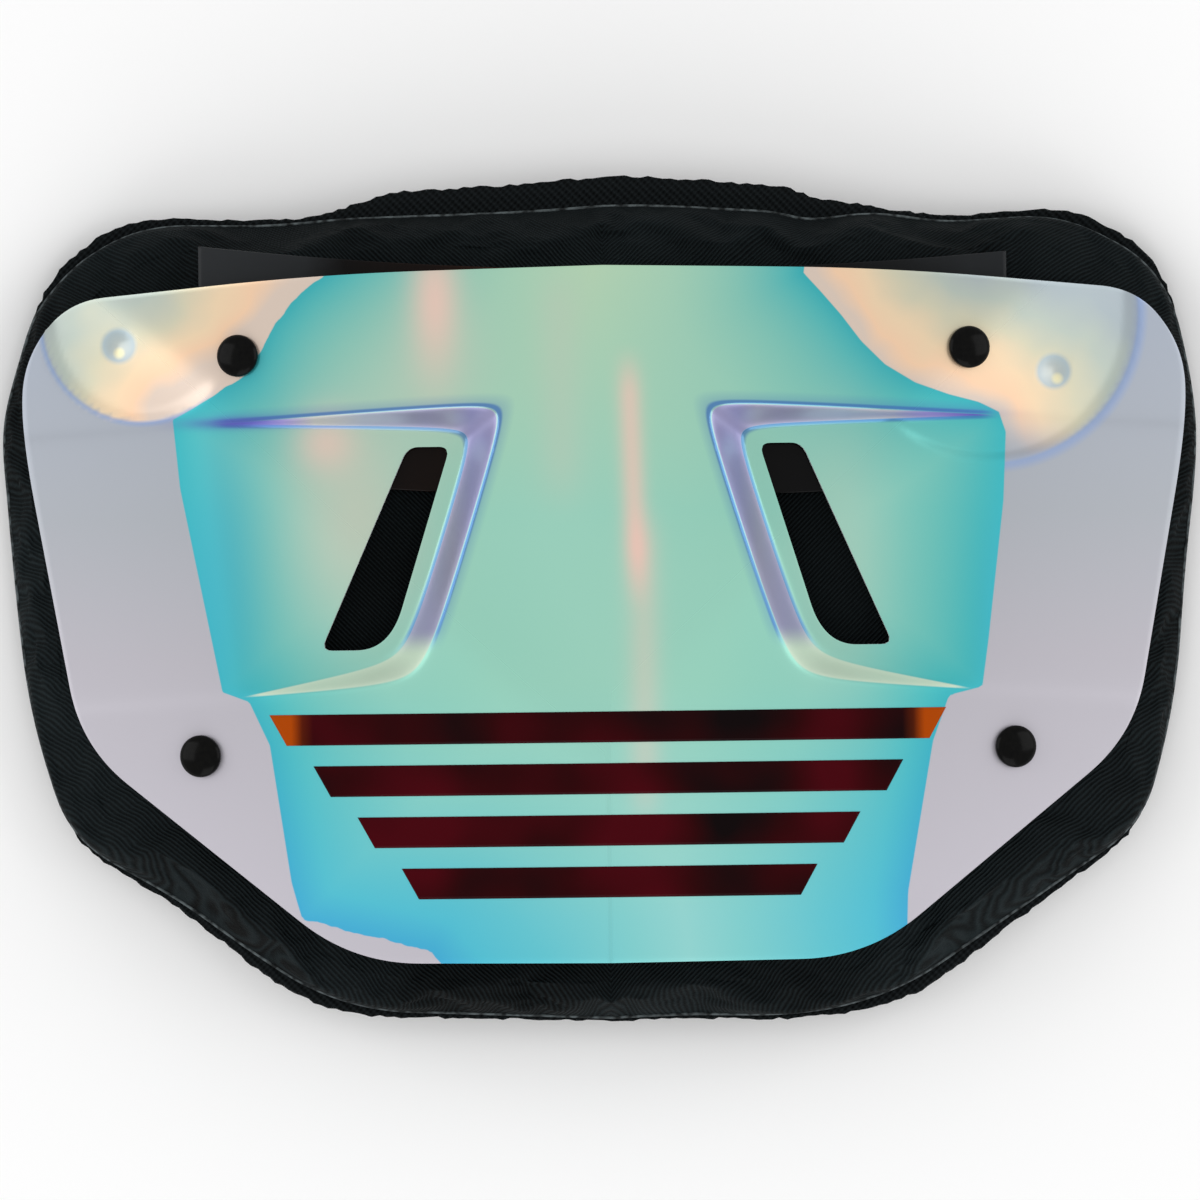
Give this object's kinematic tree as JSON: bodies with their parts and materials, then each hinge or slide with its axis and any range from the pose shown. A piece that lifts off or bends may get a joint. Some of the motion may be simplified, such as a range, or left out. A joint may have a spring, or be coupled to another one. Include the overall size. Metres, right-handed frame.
{
  "type": "football back plate",
  "caption": "Curved moulded back plate with two scooped vents, a mounting band and a soft fabric cushion, worn between the shoulder blades.",
  "frame": {"origin": "on the floor under the middle of the cushion's box, with the plate lying on its cushion", "axes": "+X across the back, +Y up towards the neck, +Z out through the plate's face"},
  "size_m": [0.3556, 0.252, 0.0615],
  "materials": {
    "shell_film": "moulded plastic under a colour-shifting mirror film, teal in the middle and lavender on the wings",
    "band_plastic": "polished black sheet plastic",
    "twill": "black twill-woven nylon over foam, with a rolled edge",
    "mesh_fabric": "black knitted spacer mesh over foam",
    "stud_plastic": "glossy black moulded cap"
  },
  "bodies": {
    "root": {"shell": "shell_film", "mount_band": "band_plastic", "cushion_front": "twill", "cushion_back": "mesh_fabric", "stud_upper_left": "stud_plastic", "stud_upper_right": "stud_plastic", "stud_lower_left": "stud_plastic", "stud_lower_right": "stud_plastic"}
  },
  "joints": []
}
